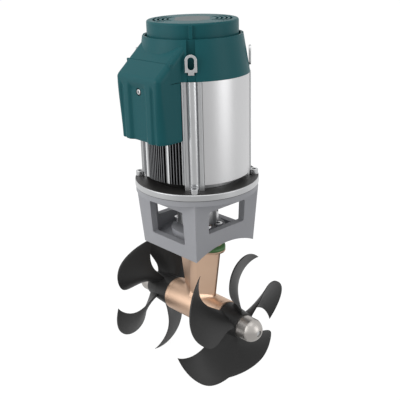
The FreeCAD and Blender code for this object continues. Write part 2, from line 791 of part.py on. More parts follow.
def terminal_stud(side, radius):
    front = V(side * terminal_x, -board_y - board_t - terminal_length / 2, terminal_z)
    return Part.makeCylinder(radius, terminal_length, front, Y_AXIS)


def power_terminals():
    """Threaded studs for the two battery cables, set in the board."""
    studs = []
    for side in (-1, 1):
        seat = V(side * terminal_x, -board_y - board_t - 3.0, terminal_z)
        collar = Part.makeCylinder(terminal_collar_r, 3.0, seat, Y_AXIS)
        studs.append(terminal_stud(side, terminal_r).fuse(collar).removeSplitter())
    return Part.makeCompound(studs)


def capacitors():
    cans = []
    for side in (-1, 1):
        centre = V(side * capacitor_x, -board_y - board_t - capacitor_r, capacitor_low_z)
        cans.append(Part.makeCylinder(capacitor_r, capacitor_h, centre, Z_AXIS))
    return Part.makeCompound(cans)


def cable_grommets():
    rings = []
    for x in grommet_x:
        inner_z = cover_bottom_z + cover_wall
        neck = Part.makeCylinder(grommet_neck_r, cover_wall, V(x, -grommet_y, cover_bottom_z), Z_AXIS)
        collar = Part.makeCylinder(grommet_r, grommet_flange_t, V(x, -grommet_y, inner_z), Z_AXIS)
        hole = Part.makeCylinder(grommet_bore_r, 4 * cover_wall, V(x, -grommet_y, cover_bottom_z - 1), Z_AXIS)
        rings.append(neck.fuse(collar).cut(hole))
    return Part.makeCompound(rings)


# ================================================================ coupling between motor and gearleg
def sector(outer, inner, low, high, half_angle, middle):
    wedge = Part.makeCylinder(outer, high - low, V(0, 0, low), Z_AXIS, 2 * half_angle)
    return at_angle(wedge.cut(cylinder(inner, low, high)), middle - half_angle)


def coupling_half(low, high, jaw_low, jaw_high, bore, start):
    body = ring(coupling_r, bore, low, high)
    jaws = [sector(coupling_r, jaw_inner_r, jaw_low, jaw_high, jaw_half_angle, start + 120.0 * i)
            for i in range(jaw_count)]
    return body.fuse(jaws).removeSplitter()


def coupling_lower():
    top = coupling_low_z + coupling_hub_h
    return coupling_half(coupling_low_z, top, top, top + spider_h - spider_gap, drive_shaft_r, 0.0)


def coupling_upper():
    low = coupling_low_z + coupling_hub_h + spider_h
    return coupling_half(low, low + coupling_hub_h, low - spider_h + spider_gap, low, motor_shaft_r, 60.0)


def coupling_spider():
    low = coupling_low_z + coupling_hub_h + spider_gap
    high = low + spider_h - 2 * spider_gap
    body = ring(spider_ring_r, spider_bore_r, low, high)
    fingers = [sector(coupling_r, spider_ring_r - 1, low, high, spider_finger_angle / 2, 30.0 + 60.0 * i)
               for i in range(2 * jaw_count)]
    return body.fuse(fingers).removeSplitter()


# ================================================================ gearleg
def oval(half_x, half_y, low, high):
    ellipse = Part.Ellipse(V(0, 0, low), half_x, half_y)
    return Part.Face(Part.Wire(ellipse.toShape())).extrude(V(0, 0, high - low))


def strut_section(half, z):
    """Lens with flat flanks, a gently rounded crown and blunt rounded edges."""
    edge = strut_edge_half
    crown = strut_crown_half
    thick = strut_crown_t
    corners = [V(half, edge, z), V(crown, thick, z), V(-crown, thick, z), V(-half, edge, z),
               V(-half, -edge, z), V(-crown, -thick, z), V(crown, -thick, z), V(half, -edge, z)]
    parts = [
        Part.makeLine(corners[0], corners[1]),
        Part.Arc(corners[1], V(0, strut_half_t, z), corners[2]).toShape(),
        Part.makeLine(corners[2], corners[3]),
        Part.Arc(corners[3], V(-half - strut_edge_round, 0, z), corners[4]).toShape(),
        Part.makeLine(corners[4], corners[5]),
        Part.Arc(corners[5], V(0, -strut_half_t, z), corners[6]).toShape(),
        Part.makeLine(corners[6], corners[7]),
        Part.Arc(corners[7], V(half + strut_edge_round, 0, z), corners[0]).toShape(),
    ]
    return Part.Wire(parts)


def gearleg_housing():
    pod = cylinder_x(pod_r, -pod_half, pod_half)
    strut = Part.makeLoft([strut_section(strut_low_half, strut_low_z), strut_section(strut_top_half, foot_low_z)],
                          True, True)
    foot = oval(foot_half_x, foot_half_y, foot_low_z, gasket_low_z)
    core = oval(foot_half_x - gasket_band, foot_half_y - gasket_band, gasket_low_z, tunnel_bore_r)
    core = core.common(cylinder_x(tunnel_bore_r - gasket_squeeze, -foot_half_x, foot_half_x))
    spigot = cylinder(spigot_r, foot_low_z, spigot_top_z)
    body = pod.fuse([strut, foot, core, spigot])
    body = body.cut(cylinder_x(chamber_r, -pod_half - 1, pod_half + 1))
    body = body.cut(cylinder(leg_bore_r, 0, spigot_top_z + 1))
    body = body.cut(cylinder(top_bearing_r + seat_gap, top_bearing_low_z, spigot_top_z + 1))
    hole_low = bracket_boss_z - gearleg_bolt_length - 1
    for x, y in gearleg_bolt_places():
        body = body.cut(Part.makeCylinder(m8_shank_r + seat_gap, 40, V(x, y, hole_low), Z_AXIS))
    return body.removeSplitter()


def gearleg_gasket():
    """Rubber pad: flat on the foot, hollowed to the tunnel's skin on top."""
    pad = oval(foot_half_x, foot_half_y, gasket_low_z, tunnel_bore_r)
    pad = pad.common(cylinder_x(tunnel_bore_r, -foot_half_x, foot_half_x))
    inner_x = foot_half_x - gasket_band + seat_gap
    inner_y = foot_half_y - gasket_band + seat_gap
    return pad.cut(oval(inner_x, inner_y, gasket_low_z - 1, tunnel_bore_r + 1)).removeSplitter()


def gearleg_bolts():
    screws = [cap_screw(x, y, bracket_boss_z, gearleg_bolt_length, m8_shank_r, m8_head_r, m8_head_h,
                        m8_socket_r, m8_socket_depth) for x, y in gearleg_bolt_places()]
    return Part.makeCompound(screws)


def drive_shaft():
    low = pinion_back_z - 15.0
    top = coupling_low_z + coupling_hub_h - 1
    stub = cylinder(pinion_bore_r, low, pinion_back_z)
    return stub.fuse(cylinder(drive_shaft_r, pinion_back_z, top)).removeSplitter()


def lower_leg_bearing():
    return bearing(leg_bore_r - seat_gap, drive_shaft_r + run_gap, leg_bearing_low_z, leg_bearing_h)


def upper_leg_bearing():
    return bearing(top_bearing_r, drive_shaft_r + run_gap, top_bearing_low_z, leg_bearing_h)


def drive_seal():
    return bearing(top_bearing_r, drive_shaft_r + run_gap, spigot_top_z - seal_h, seal_h)


# ================================================================ bevel gears, tips of the cones at the origin
def cone_point(distance, angle, height, offset, turn):
    """Point at a distance from the cones' tip, a height above the pitch cone and a sideways offset."""
    r = distance * math.sin(angle) + height * math.cos(angle)
    z = distance * math.cos(angle) - height * math.sin(angle)
    c = math.cos(turn)
    s = math.sin(turn)
    return V(r * c - offset * s, r * s + offset * c, z)


def bevel_tooth(outer, inner, angle, turn):
    half_pitch_line = tooth_share * math.pi * gear_module / 2
    sections = []
    for distance in (outer, inner):
        scale = distance / outer
        low = -(dedendum + tooth_root_sink)
        high = addendum
        corners = []
        for height, side in ((low, -1), (low, 1), (high, 1), (high, -1)):
            half = half_pitch_line - flank_slope * height
            corners.append(cone_point(distance, angle, height * scale, side * half * scale, turn))
        sections.append(Part.makePolygon(corners + corners[:1]))
    return Part.makeLoft(sections, True, True)


def bevel_gear(teeth, mate_teeth, first_tooth, bore_r, hub_r, back):
    """Bevel gear on +Z, its teeth facing the origin; first_tooth is the direction of one tooth."""
    angle = math.atan2(teeth, mate_teeth)
    outer = gear_module * math.hypot(teeth, mate_teeth) / 2
    inner = outer - face_width
    root_out = cone_point(outer, angle, -dedendum, 0, 0)
    root_in = cone_point(inner, angle, -dedendum * inner / outer, 0, 0)
    heel = cone_point(outer, angle, -dedendum - 1.5, 0, 0)
    blank_back = heel.z + gear_web
    front = root_in.z + 0.5
    profile = [(front, bore_r), (root_in.z, root_in.x), (root_out.z, root_out.x), (heel.z, heel.x)]
    if hub_r < heel.x:
        profile += [(blank_back, heel.x), (blank_back, hub_r)]
    else:
        profile += [(blank_back, hub_r)]
    profile += [(back, hub_r), (back, bore_r)]
    blank = turned(profile)
    teeth_solids = [bevel_tooth(outer, inner, angle, math.radians(first_tooth) + 2 * math.pi * i / teeth)
                    for i in range(teeth)]
    return blank.fuse(teeth_solids).removeSplitter()


def drive_pinion():
    return bevel_gear(pinion_teeth, crown_teeth, 0.0, pinion_bore_r, pinion_hub_r, pinion_back_z)


def crown_gear(first_tooth):
    """Crown gear on +X; first_tooth is measured from +Z."""
    gear = bevel_gear(crown_teeth, pinion_teeth, 180.0 + first_tooth, prop_shaft_r, crown_hub_r, crown_back_x)
    gear.rotate(ORIGIN, Y_AXIS, 90)
    return gear


def right_crown_gear():
    return crown_gear(180.0 / crown_teeth)


def left_crown_gear():
    return mirrored_x(crown_gear(0.0))


# ================================================================ propeller shafts and the ends of the gearleg
def prop_shaft(reach=0.0):
    end = shaft_end_x + reach
    shaft = cylinder_x(prop_shaft_r, shaft_inner_x, end)
    shaft = shaft.cut(cylinder_x(anode_screw_r + seat_gap, end - 12, end + 1))
    return shaft.cut(drive_pin(reach))


def shaft_bearing():
    return ring_x(chamber_r - seat_gap, prop_shaft_r + run_gap, pod_bearing_x, pod_bearing_x + pod_bearing_w)


def end_cap():
    plug = cylinder_x(chamber_r - seat_gap, pod_half - cap_plug, pod_half)
    flange = cylinder_x(pod_r, pod_half, cap_end_x)
    rim = [e for e in flange.Edges if e.Curve.TypeId == "Part::GeomCircle" and abs(e.BoundBox.XMax - cap_end_x) < 1e-6
           and abs(e.BoundBox.XMin - cap_end_x) < 1e-6]
    flange = flange.makeChamfer(cap_chamfer, rim)
    body = plug.fuse(flange)
    body = body.cut(cylinder_x(prop_shaft_r + free_gap, 0, 2 * cap_end_x))
    return body.cut(cylinder_x(seal_r + seat_gap, cap_end_x - seal_h, cap_end_x + 1))


def shaft_seal():
    return ring_x(seal_r, prop_shaft_r + run_gap, cap_end_x - seal_h, cap_end_x)


# ================================================================ propellers
def along_span(values, u):
    """Smooth curve through values given at even steps from the root to the tip."""
    places = [i / (len(values) - 1) for i in range(len(values))]
    total = 0.0
    for i, value in enumerate(values):
        weight = 1.0
        for j, place in enumerate(places):
            if j != i:
                weight *= (u - place) / (places[i] - place)
        total += weight * value
    return total


def blade_point(plane_x, start, u, s, side):
    """Point of one blade's surface: u runs from root to tip, s from trailing to leading edge."""
    tip = blade_r - blade_tip_slant * (1 - s) - blade_corner_cut * (1 - s) ** 5
    r = blade_root_r + (tip - blade_root_r) * u
    span = (r - hub_outer_r) / (blade_r - hub_outer_r)
    lead = along_span(lead_angles, u)
    trail = along_span(trail_angles, u)
    psi = math.radians(trail + (lead - trail) * s)
    pitch = (blade_pitch - blade_pitch_drop * span) / (2 * math.pi)
    x = plane_x - pitch * psi + blade_rake * span + blade_rake_bow * span ** 2 + blade_camber * psi ** 2
    full = blade_root_t + (blade_tip_t - blade_root_t) * u
    thick = blade_edge_t + (full - blade_edge_t) * 4 * s * (1 - s)
    x += side * thick / 2 * math.hypot(1.0, pitch / r)
    angle = math.radians(start) - psi
    return V(x, r * math.cos(angle), r * math.sin(angle))


def blade(plane_x, start):
    """Solid blade: a front and a back surface joined along their four borders."""
    spans = [i / (blade_span_points - 1) for i in range(blade_span_points)]
    chords = [(i / (blade_chord_points - 1)) ** 1.3 for i in range(blade_chord_points)]
    faces = []
    borders = []
    for side in (1, -1):
        surface = Part.BSplineSurface()
        surface.interpolate([[blade_point(plane_x, start, u, s, side) for s in chords] for u in spans])
        faces.append(surface.toShape())
        u0, u1, v0, v1 = surface.bounds()
        borders.append([surface.uIso(u0), surface.uIso(u1), surface.vIso(v0), surface.vIso(v1)])
    for front, back in zip(*borders):
        faces.append(Part.makeRuledSurface(front.toShape(), back.toShape()))
    shell = Part.makeShell(faces)
    shell.sewShape()
    solid = Part.makeSolid(shell)
    if solid.Volume < 0:
        solid.reverse()
    return solid


def propeller(plane_x, start, reach=0.0):
    """Propeller of the right side; the left one is its mirror image, on a longer hub."""
    bore = prop_shaft_r + seat_gap
    end = hub_outer_x + reach
    hub = turned([(hub_inner_x, bore), (hub_inner_x, hub_inner_r), (hub_mid_x + reach, hub_mid_r),
                  (end, hub_outer_r), (end, bore)], True)
    body = hub.fuse(around(blade(plane_x, start), blade_count, X_AXIS))
    body = body.cut(cylinder_x(bore, hub_inner_x - 1, end + 1))
    body = body.cut(cylinder_x(anode_r + anode_gap, end, end + blade_root_r))
    return body.cut(drive_pin(reach)).removeSplitter()


def right_propeller():
    return propeller(right_blade_x, right_blade_angle)


def left_propeller():
    return mirrored_x(propeller(left_blade_x, left_blade_angle, left_reach))


def drive_pin(reach=0.0):
    return Part.makeCylinder(pin_r, 2 * pin_half, V(pin_x + reach, -pin_half, 0), Y_AXIS)


def prop_nut(reach=0.0):
    corners = [V(nut_x, nut_r * math.cos(math.radians(60 * i)), nut_r * math.sin(math.radians(60 * i)))
               for i in range(6)]
    nut = Part.Face(Part.makePolygon(corners + corners[:1])).extrude(V(nut_h, 0, 0))
    nut = nut.cut(cylinder_x(prop_shaft_r, nut_x - 1, nut_x + nut_h + 1))
    nut.translate(V(reach, 0, 0))
    return nut


def anode(reach=0.0):
    base = hub_outer_x + 0.1
    shoulder = base + anode_cylinder
    body = cylinder_x(anode_r, base, shoulder)
    dome_r = (anode_r ** 2 + anode_dome ** 2) / (2 * anode_dome)
    dome = Part.makeSphere(dome_r, V(shoulder + anode_dome - dome_r, 0, 0))
    body = body.fuse(dome.common(cylinder_x(2 * anode_r, shoulder, shoulder + 2 * anode_r)))
    body = body.cut(cylinder_x(anode_bore_r, base - 1, base + anode_bore_depth))
    body = body.cut(cylinder_x(anode_screw_r + bolt_gap, base, 2 * base))
    seat = shoulder + anode_dome - 6
    body = body.cut(cylinder_x(anode_screw_head_r + bolt_gap, seat, 2 * base)).removeSplitter()
    body.translate(V(reach, 0, 0))
    return body


def anode_screw(reach=0.0):
    seat = hub_outer_x + 0.1 + anode_cylinder + anode_dome - 6
    shank = cylinder_x(anode_screw_r, shaft_end_x - 10, seat)
    screw = shank.fuse(cylinder_x(anode_screw_head_r, seat, seat + 3.5)).removeSplitter()
    screw.translate(V(reach, 0, 0))
    return screw


# ================================================================ every piece, by name
pieces = [
    ("motor_bracket", motor_bracket),
    ("motor_flange", motor_flange),
    ("flange_bolts", flange_bolts),
    ("motor_body", motor_body),
    ("right_panel", lambda: side_panel(0)),
    ("rear_panel", lambda: side_panel(90)),
    ("left_panel", lambda: side_panel(180)),
    ("lower_motor_bearing", lower_motor_bearing),
    ("upper_motor_bearing", upper_motor_bearing),
    ("upper_end_shield", upper_end_shield),
    ("stator_core", stator_core),
    ("stator_windings", stator_windings),
    ("rotor_core", rotor_core),
    ("rotor_magnets", rotor_magnets),
    ("motor_shaft", motor_shaft),
    ("fan_impeller", fan_impeller),
    ("fan_cowl", fan_cowl),
    ("fan_cap", fan_cap),
    ("badge_disc", badge_disc),
    ("lifting_lugs", lifting_lugs),
    ("terminal_cover", terminal_cover),
    ("cover_screw", cover_screw),
    ("cover_post", cover_post),
    ("power_board", power_board),
    ("power_terminals", power_terminals),
    ("capacitors", capacitors),
    ("cable_grommets", cable_grommets),
    ("coupling_upper", coupling_upper),
    ("coupling_spider", coupling_spider),
    ("coupling_lower", coupling_lower),
    ("gearleg_housing", gearleg_housing),
    ("gearleg_gasket", gearleg_gasket),
    ("gearleg_bolts", gearleg_bolts),
    ("drive_shaft", drive_shaft),
    ("upper_leg_bearing", upper_leg_bearing),
    ("lower_leg_bearing", lower_leg_bearing),
    ("drive_seal", drive_seal),
    ("drive_pinion", drive_pinion),
    ("right_crown_gear", right_crown_gear),
    ("left_crown_gear", left_crown_gear),
    ("right_propeller", right_propeller),
    ("left_propeller", left_propeller),
]

# Pieces that are the same on both sides: made for the right side and mirrored for the left.
paired_pieces = [
    ("shaft_bearing", shaft_bearing),
    ("end_cap", end_cap),
    ("shaft_seal", shaft_seal),
]

# The same, but on the left they stand further out.
reaching_pieces = [
    ("prop_shaft", prop_shaft),
    ("drive_pin", drive_pin),
    ("prop_nut", prop_nut),
    ("anode", anode),
    ("anode_screw", anode_screw),
]


def export(name, shape):
    if not shape.isValid():
        print("not valid:", name)
    shape.exportStep(os.path.join("parts", name + ".step"))


os.makedirs("parts", exist_ok=True)
for name, make in pieces:
    export(name, make())
for name, make in paired_pieces:
    shape = make()
    export("right_" + name, shape)
    export("left_" + name, mirrored_x(shape))
for name, make in reaching_pieces:
    export("right_" + name, make())
    export("left_" + name, mirrored_x(make(left_reach)))
print("pieces:", len(pieces) + 2 * len(paired_pieces) + 2 * len(reaching_pieces))
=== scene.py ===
import bpy
import bmesh
import math
from mathutils import Matrix, Vector


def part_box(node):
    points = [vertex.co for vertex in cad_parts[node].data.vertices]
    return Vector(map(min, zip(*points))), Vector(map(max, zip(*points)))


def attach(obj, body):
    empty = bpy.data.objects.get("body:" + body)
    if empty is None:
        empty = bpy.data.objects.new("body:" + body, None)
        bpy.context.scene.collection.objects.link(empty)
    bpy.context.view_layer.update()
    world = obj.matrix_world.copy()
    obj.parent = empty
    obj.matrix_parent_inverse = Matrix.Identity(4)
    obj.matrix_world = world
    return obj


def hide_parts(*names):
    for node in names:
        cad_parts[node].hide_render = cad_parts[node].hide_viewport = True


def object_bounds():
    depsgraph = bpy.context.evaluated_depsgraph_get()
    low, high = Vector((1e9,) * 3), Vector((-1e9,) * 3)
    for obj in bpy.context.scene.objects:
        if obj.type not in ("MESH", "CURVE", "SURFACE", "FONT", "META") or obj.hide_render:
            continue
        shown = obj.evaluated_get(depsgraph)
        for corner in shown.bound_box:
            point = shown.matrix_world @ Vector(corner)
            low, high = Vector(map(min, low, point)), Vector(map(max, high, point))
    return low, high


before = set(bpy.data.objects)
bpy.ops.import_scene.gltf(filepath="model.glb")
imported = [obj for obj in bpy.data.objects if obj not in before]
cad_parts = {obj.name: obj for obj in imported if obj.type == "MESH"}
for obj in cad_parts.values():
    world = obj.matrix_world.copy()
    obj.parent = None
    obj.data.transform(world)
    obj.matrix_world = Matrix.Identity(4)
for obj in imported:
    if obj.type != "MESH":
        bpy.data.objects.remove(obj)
cad_low, cad_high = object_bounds()
scene = bpy.context.scene


# ---------------------------------------------------------------- camera
# A long lens from the front right, a little above the motor, looking down on the unit, with a
# slight roll. The place and the far limit are in metres, the angles in degrees.
CAMERA_PLACE = (0.75078, -0.68300, 0.56544)
CAMERA_HEADING = 47.5043
CAMERA_DIP = 20.5711
CAMERA_ROLL = -1.5986
FOCAL_LENGTH = 62.54      # millimetres, as is the sensor's width
SENSOR_WIDTH = 36.0
FAR_LIMIT = 60.0
camera_data = bpy.data.cameras.new("camera")
camera_data.sensor_width = SENSOR_WIDTH
camera_data.lens = FOCAL_LENGTH
camera_data.clip_end = FAR_LIMIT
camera = bpy.data.objects.new("camera", camera_data)
scene.collection.objects.link(camera)
heading = Matrix.Rotation(math.radians(CAMERA_HEADING), 4, "Z")
tilt = Matrix.Rotation(math.radians(90.0 - CAMERA_DIP), 4, "X")
roll = Matrix.Rotation(math.radians(CAMERA_ROLL), 4, "Z")
camera.matrix_world = Matrix.Translation(CAMERA_PLACE) @ heading @ tilt @ roll
scene.camera = camera


# ---------------------------------------------------------------- studio
# A white room: wide soft boxes on both sides and above, and a pale floor under the lowest blade.
# Seen directly or in a gloss the room is white, but it lights the unit at a plain level. In a gloss
# the floor glows, and a painted shade darkens that glow on the side that no lamp stands on.
def add_node(tree, kind, values=None, links=None, **settings):
    """Adds a node, sets its inputs and wires others into them; keys are socket names or numbers."""
    node = tree.nodes.new(kind)
    for name, value in settings.items():
        setattr(node, name, value)
    for key, value in (values or {}).items():
        node.inputs[key].default_value = value
    for key, source in (links or {}).items():
        tree.links.new(source, node.inputs[key])
    return node


def seen_not_lit(tree):
    """1 for rays that show a surface: straight from the camera, or by way of a gloss or glass."""
    path = add_node(tree, "ShaderNodeLightPath")
    shown = add_node(tree, "ShaderNodeMath", operation="MAXIMUM",
                     links={0: path.outputs["Is Camera Ray"], 1: path.outputs["Is Glossy Ray"]})
    return add_node(tree, "ShaderNodeMath", operation="MAXIMUM",
                    links={0: shown.outputs[0], 1: path.outputs["Is Transmission Ray"]})


ROOM_LIGHT = 0.42
world = bpy.data.worlds.new("studio")
scene.world = world
world.use_nodes = True
tree = world.node_tree
tree.nodes.clear()
room = add_node(tree, "ShaderNodeBackground", {"Color": (1, 1, 1, 1), "Strength": ROOM_LIGHT})
white = add_node(tree, "ShaderNodeBackground", {"Color": (1, 1, 1, 1), "Strength": 1.0})
mixed = add_node(tree, "ShaderNodeMixShader", links={0: seen_not_lit(tree).outputs[0], 1: room.outputs[0],
                                                     2: white.outputs[0]})
add_node(tree, "ShaderNodeOutputWorld", links={"Surface": mixed.outputs[0]})

LAMPS_AIM = Vector((0, 0, 0.17))
SOFT_BOXES = [
    # name, place, width and height in metres, watts
    ("key_box", (-0.55, -1.75, 0.80), (1.5, 1.8), 21.0),
    ("side_box", (1.70, 0.55, 0.45), (0.8, 1.6), 9.0),
    ("top_box", (0.20, -0.20, 1.90), (1.2, 1.2), 6.0),
]
for name, place, (width, height), watts in SOFT_BOXES:
    lamp = bpy.data.lights.new(name, "AREA")
    lamp.shape = "RECTANGLE"
    lamp.size = width
    lamp.size_y = height
    lamp.energy = watts
    box = bpy.data.objects.new(name, lamp)
    box.location = place
    box.rotation_euler = (LAMPS_AIM - Vector(place)).to_track_quat("-Z", "Y").to_euler()
    scene.collection.objects.link(box)

FLOOR_HALF = 30.0         # metres, as are the next three
FLOOR_DROP = 0.001        # gap under the lowest blade
SHADE_START = -0.45       # in a gloss the floor's painted shade starts here, along SHADE_WAY,
SHADE_END = 0.35          # to here
SHADE_WAY = (0.74, -0.67, 0.0)
SHADE_LEVEL = 0.62
SEEN_LEVEL = 0.975        # brightness of the floor where the camera sees it
floor_mesh = bpy.data.meshes.new("floor")
bm = bmesh.new()
bmesh.ops.create_grid(bm, x_segments=1, y_segments=1, size=FLOOR_HALF)
bmesh.ops.translate(bm, verts=bm.verts, vec=(0, 0, cad_low[2] - FLOOR_DROP))
bm.to_mesh(floor_mesh)
bm.free()
floor = bpy.data.objects.new("floor", floor_mesh)
scene.collection.objects.link(floor)
pale = bpy.data.materials.new("pale_floor")
pale.use_nodes = True
tree = pale.node_tree
tree.nodes.clear()
matt = add_node(tree, "ShaderNodeBsdfDiffuse", {"Color": (0.55, 0.55, 0.55, 1)})
faint = add_node(tree, "ShaderNodeBsdfDiffuse", {"Color": (0.10, 0.10, 0.10, 1)})
where = add_node(tree, "ShaderNodeTexCoord")
ahead = add_node(tree, "ShaderNodeVectorMath", {1: SHADE_WAY}, {0: where.outputs["Object"]},
                 operation="DOT_PRODUCT")
# painted shade: in a gloss the floor's glow falls from 1 to SHADE_LEVEL along SHADE_WAY
painted_gloss_shade = add_node(tree, "ShaderNodeMapRange",
                {"From Min": SHADE_START, "From Max": SHADE_END, "To Min": 1.0, "To Max": SHADE_LEVEL},
                {"Value": ahead.outputs["Value"]})
path = add_node(tree, "ShaderNodeLightPath")
level = add_node(tree, "ShaderNodeMix", {3: SEEN_LEVEL},
                 {0: path.outputs["Is Camera Ray"], 2: painted_gloss_shade.outputs["Result"]}, data_type="FLOAT")
glow = add_node(tree, "ShaderNodeEmission", {"Color": (1, 1, 1, 1)}, {"Strength": level.outputs[0]})
bright = add_node(tree, "ShaderNodeAddShader", links={0: faint.outputs[0], 1: glow.outputs[0]})
mixed = add_node(tree, "ShaderNodeMixShader", links={0: seen_not_lit(tree).outputs[0], 1: matt.outputs[0],
                                                     2: bright.outputs[0]})
add_node(tree, "ShaderNodeOutputMaterial", links={"Surface": mixed.outputs[0]})
floor_mesh.materials.append(pale)


# ---------------------------------------------------------------- motor bracket
# Sand-cast aluminium body with four windows, saddle-cut to the tunnel and painted grey.
# The paint leaves the grain of the casting to feel, and the machined edges are broken all round.
MM = 0.001                # metres in a millimetre
WELD = 2e-6               # metres within which corners are one
FLAT_WITHIN = 0.6         # degrees within which faces are one flat


def srgb(code):
    """Linear colour of a hex sRGB code."""
    parts = [int(code[i:i + 2], 16) / 255 for i in (0, 2, 4)]
    return tuple(p / 12.92 if p <= 0.04045 else ((p + 0.055) / 1.055) ** 2.4 for p in parts) + (1.0,)


def surface(name, dark, light, rough, grain, height, metallic=0.0, run=(1.0, 1.0, 1.0), patch=45.0,
            spread=0.06, specular=0.5):
    """Material that drifts between two tones in patches, with a fine grain in its gloss and its relief.

    grain and patch are sizes in millimetres, height is the relief in millimetres, and run draws the
    grain out along an axis where it is under 1.
    """
    material = bpy.data.materials.new(name)
    material.use_nodes = True
    tree = material.node_tree
    shader = tree.nodes["Principled BSDF"]
    where = add_node(tree, "ShaderNodeTexCoord")
    broad = add_node(tree, "ShaderNodeTexNoise", {"Scale": 1 / (patch * MM), "Detail": 2.0},
                     {"Vector": where.outputs["Object"]})
    tone = add_node(tree, "ShaderNodeMix", {6: srgb(dark), 7: srgb(light)}, {0: broad.outputs["Fac"]},
                    data_type="RGBA")
    drawn = add_node(tree, "ShaderNodeMapping", {"Scale": run}, {"Vector": where.outputs["Object"]})
    fine = add_node(tree, "ShaderNodeTexNoise", {"Scale": 1 / (grain * MM), "Detail": 3.0},
                    {"Vector": drawn.outputs["Vector"]})
    gloss = add_node(tree, "ShaderNodeMapRange", {"To Min": rough - spread, "To Max": rough + spread},
                     {"Value": fine.outputs["Fac"]})
    relief = add_node(tree, "ShaderNodeBump", {"Strength": 1.0, "Distance": height * MM},
                      {"Height": fine.outputs["Fac"]})
    tree.links.new(tone.outputs[2], shader.inputs["Base Color"])
    tree.links.new(gloss.outputs["Result"], shader.inputs["Roughness"])
    tree.links.new(relief.outputs["Normal"], shader.inputs["Normal"])
    shader.inputs["Metallic"].default_value = metallic
    shader.inputs["Specular IOR Level"].default_value = specular
    return material


def dress(names, material):
    """Gives CAD nodes a material."""
    for name in names:
        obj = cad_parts[name]
        obj.data.materials.clear()
        obj.data.materials.append(material)


def new_piece(name, bm, material, body, nodes=(), smooth=35.0):
    """Makes a piece of a bmesh, which rides on a body and may stand for CAD nodes."""
    mesh = bpy.data.meshes.new(name)
    bm.to_mesh(mesh)
    bm.free()
    mesh.materials.append(material)
    mesh.shade_smooth()
    mesh.set_sharp_from_angle(angle=math.radians(smooth))
    piece = bpy.data.objects.new(name, mesh)
    scene.collection.objects.link(piece)
    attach(piece, body)
    if nodes:
        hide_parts(*nodes)
    return piece


def broken_edges(node, name, width, material, body="housing", clamp=True, angle=35.0, flat=True):
    """Stands for a CAD node: the same form with its sharp edges broken by width millimetres."""
    bm = bmesh.new()
    bm.from_mesh(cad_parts[node].data)
    bmesh.ops.remove_doubles(bm, verts=bm.verts, dist=WELD)
    if flat:
        bmesh.ops.dissolve_limit(bm, angle_limit=math.radians(FLAT_WITHIN), verts=bm.verts, edges=bm.edges)
    sharp = [e for e in bm.edges if e.is_manifold and e.calc_face_angle() > math.radians(angle)]
    bmesh.ops.bevel(bm, geom=sharp, affect="EDGES", offset=width * MM, segments=2, profile=0.5,
                    material=-1, clamp_overlap=clamp)
    piece = new_piece(name, bm, material, body, (node,))
    level = piece.modifiers.new("flat_faces", "WEIGHTED_NORMAL")
    level.keep_sharp = True
    return piece


grey_paint = surface("grey_painted_casting", "9d9ea3", "a8a9ad", 0.50, 1.4, 0.05, patch=70.0, specular=0.25)
broken_edges("motor_bracket", "painted_bracket", 0.8, grey_paint, flat=False)


# ---------------------------------------------------------------- motor flange
# Turned steel ring. Its rim is left bright from the lathe, and its top face is coloured near-black, so the
# gap under the motor shows dark.
BOLT_HEAD_H = 8.0
DARK_TOP_EDGE = 0.2        # the near-black colour reaches this far below the top face
FLANGE_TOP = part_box("flange_bolts")[1][2] - BOLT_HEAD_H * MM
flange_metal = surface("turned_steel_black_face", "b4b5b6", "c0c1c2", 0.34, 0.5, 0.01, metallic=1.0,
                       run=(1.0, 1.0, 12.0))
tree = flange_metal.node_tree
shader = tree.nodes["Principled BSDF"]
where = add_node(tree, "ShaderNodeTexCoord")
split = add_node(tree, "ShaderNodeSeparateXYZ", links={0: where.outputs["Object"]})
# the top face is coloured near-black, which also darkens the gap under the motor
dark_top_mask = add_node(tree, "ShaderNodeMath", {1: FLANGE_TOP - DARK_TOP_EDGE * MM}, {0: split.outputs["Z"]},
                   operation="GREATER_THAN")
bare = shader.inputs["Base Color"].links[0].from_socket
tone = add_node(tree, "ShaderNodeMix", {7: srgb("2b2a29")}, {0: dark_top_mask.outputs[0], 6: bare},
                data_type="RGBA")
metal_share = add_node(tree, "ShaderNodeMath", {0: 1.0}, {1: dark_top_mask.outputs[0]}, operation="SUBTRACT")
lathe_gloss = shader.inputs["Roughness"].links[0].from_socket
DARK_TOP_ROUGH = 0.48
gloss = add_node(tree, "ShaderNodeMix", {3: DARK_TOP_ROUGH}, {0: dark_top_mask.outputs[0], 2: lathe_gloss},
                 data_type="FLOAT")
tree.links.new(tone.outputs[2], shader.inputs["Base Color"])
tree.links.new(metal_share.outputs[0], shader.inputs["Metallic"])
tree.links.new(gloss.outputs[0], shader.inputs["Roughness"])
broken_edges("motor_flange", "turned_flange", 0.3, flange_metal)

# A thin near-black ring lies in the groove between the flange's chamfer and the bracket, so the seam there
# shows dark.
BEAD_R = 94.1
BEAD_HALF = 0.5
BEAD_DEPTH = 9.6          # of the bead's middle below the flange's top
bm = bmesh.new()
bmesh.ops.create_circle(bm, segments=8, radius=BEAD_HALF * MM,
                        matrix=Matrix.Translation((BEAD_R * MM, 0, FLANGE_TOP - BEAD_DEPTH * MM))
                        @ Matrix.Rotation(math.pi / 2, 4, "X"))
bmesh.ops.spin(bm, geom=bm.edges[:], cent=(0, 0, 0), axis=(0, 0, 1), angle=2 * math.pi, steps=160,
               use_merge=True)
bmesh.ops.remove_doubles(bm, verts=bm.verts, dist=1e-6)
bmesh.ops.recalc_face_normals(bm, faces=bm.faces)
dark_seam_colour = surface("near_black_seam", "1b1b1b", "232323", 0.55, 0.9, 0.02)
new_piece("flange_dark_seam_ring", bm, dark_seam_colour, "housing")

